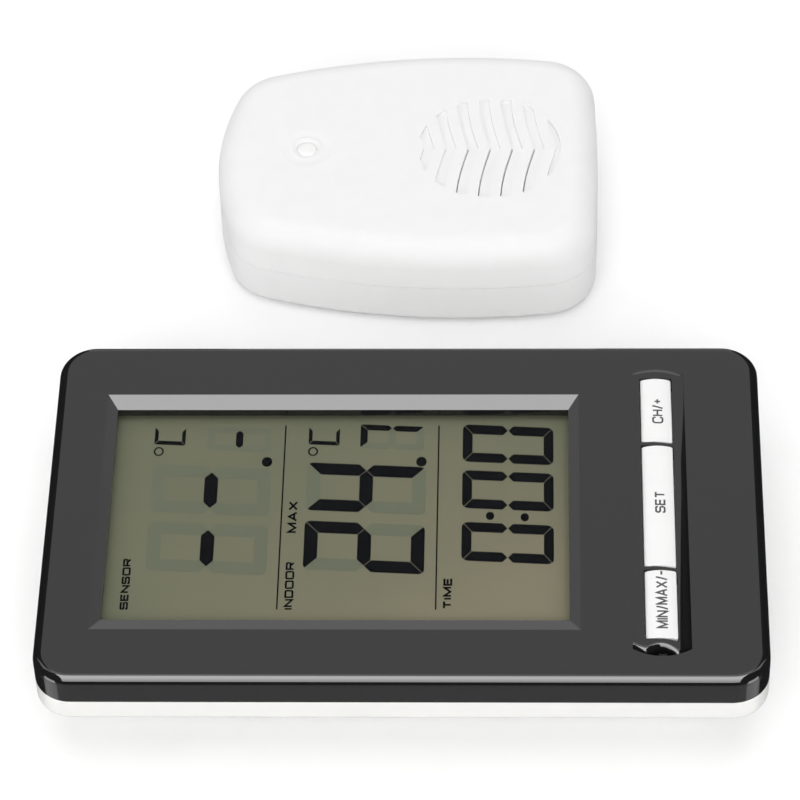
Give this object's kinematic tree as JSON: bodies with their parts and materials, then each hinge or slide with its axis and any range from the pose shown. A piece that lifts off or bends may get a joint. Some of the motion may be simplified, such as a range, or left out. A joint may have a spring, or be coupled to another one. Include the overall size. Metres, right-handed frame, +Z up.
{
  "type": "maximum minimum thermometer",
  "caption": "Greenhouse maximum minimum thermometer: a flat display unit with a liquid crystal panel and a row of keys, and its rounded wireless air sensor.",
  "frame": {"origin": "middle of the display unit's back, where it lies on the table", "axes": "+X along the display towards its keys (its lower edge in use), +Y towards the remote sensor, +Z up out of the screen"},
  "size_m": [0.116, 0.1454, 0.02],
  "materials": {
    "bezel_plastic": "polished black moulding",
    "case_plastic": "semi-gloss white moulding",
    "lcd_glass": "grey-green liquid crystal glass with polariser film",
    "lcd_reflector": "matt reflective film",
    "frame_plastic": "plain moulded",
    "connector_rubber": "striped conductive rubber",
    "key_plastic": "satin white keys with printed legends",
    "dark_plastic": "black nylon",
    "switch_metal": "stamped plated steel",
    "board": "green glass-fibre board with solder mask",
    "screw_steel": "zinc plated",
    "potting": "black epoxy",
    "crystal_can": "bright can",
    "thermistor_bead": "dipped epoxy bead",
    "module_board": "blue board with a shield can",
    "antenna_wire": "enamelled copper wire",
    "cell_jacket": "lacquered metal jacket, no marks",
    "contact_steel": "nickel plated spring steel",
    "door_plastic": "fine-grained white moulding",
    "sensor_plastic": "satin white moulding",
    "lens_plastic": "milky light guide",
    "led_resin": "red resin"
  },
  "bodies": {
    "display": {"front_bezel": "bezel_plastic", "rear_housing": "case_plastic", "lcd_front_glass": "lcd_glass", "lcd_rear_glass": "lcd_glass", "lcd_reflector": "lcd_reflector", "lcd_frame": "frame_plastic", "lcd_connector_strips": "connector_rubber", "channel_key_switch": "switch_metal", "set_key_switch": "switch_metal", "minmax_key_switch": "switch_metal", "main_board": "board", "board_screws": "screw_steel", "case_screws": "screw_steel", "controller_chip": "potting", "clock_crystal": "crystal_can", "room_thermistor": "thermistor_bead", "receiver_module": "module_board", "receiver_antenna": "antenna_wire", "display_cell_front": "cell_jacket", "display_cell_back": "cell_jacket", "display_link_contact": "contact_steel", "display_negative_contact": "contact_steel", "display_positive_contact": "contact_steel"},
    "channel_key": {"channel_key": "key_plastic", "channel_plunger": "dark_plastic"},
    "set_key": {"set_key": "key_plastic", "set_plunger": "dark_plastic"},
    "minmax_key": {"minmax_key": "key_plastic", "minmax_plunger": "dark_plastic"},
    "display_door": {"display_battery_door": "door_plastic"},
    "stand": {"stand_leg": "door_plastic"},
    "sensor": {"sensor_front_shell": "sensor_plastic", "sensor_rear_shell": "sensor_plastic", "sensor_lens": "lens_plastic", "sensor_led": "led_resin", "sensor_board": "board", "sensor_board_screws": "screw_steel", "sensor_case_screws": "screw_steel", "sensor_thermistor": "thermistor_bead", "sensor_antenna": "antenna_wire", "transmitter_module": "potting", "channel_selector_body": "switch_metal", "sensor_cell_front": "cell_jacket", "sensor_cell_back": "cell_jacket", "sensor_link_contact": "contact_steel", "sensor_negative_contact": "contact_steel", "sensor_positive_contact": "contact_steel"},
    "sensor_door": {"sensor_battery_door": "door_plastic"},
    "channel_selector": {"channel_selector_knob": "dark_plastic"}
  },
  "joints": [
    {"name": "channel_key_press", "type": "slide", "parent": "display", "child": "channel_key", "axis": [0, 0, -1], "range_m": [0, 0.0004], "stiffness_N_per_m": 800, "springref_m": -0.0008},
    {"name": "set_key_press", "type": "slide", "parent": "display", "child": "set_key", "axis": [0, 0, -1], "range_m": [0, 0.0004], "stiffness_N_per_m": 800, "springref_m": -0.0008},
    {"name": "minmax_key_press", "type": "slide", "parent": "display", "child": "minmax_key", "axis": [0, 0, -1], "range_m": [0, 0.0004], "stiffness_N_per_m": 800, "springref_m": -0.0008},
    {"name": "display_door_slide", "type": "slide", "parent": "display", "child": "display_door", "axis": [0, 1, 0], "range_m": [0, 0.022]},
    {"name": "stand_hinge", "type": "hinge", "parent": "display", "child": "stand", "pos_m": [0.046, 0, 0.0017], "axis": [0, -1, 0], "range_deg": [0, 80]},
    {"name": "sensor_lift", "type": "slide", "parent": "display", "child": "sensor", "axis": [0, 0, 1], "range_m": [0, 0.08]},
    {"name": "sensor_door_slide", "type": "slide", "parent": "sensor", "child": "sensor_door", "axis": [1, 0, 0], "range_m": [0, 0.045]},
    {"name": "channel_selector_slide", "type": "slide", "parent": "sensor", "child": "channel_selector", "axis": [1, 0, 0], "range_m": [0, 0.004]}
  ]
}
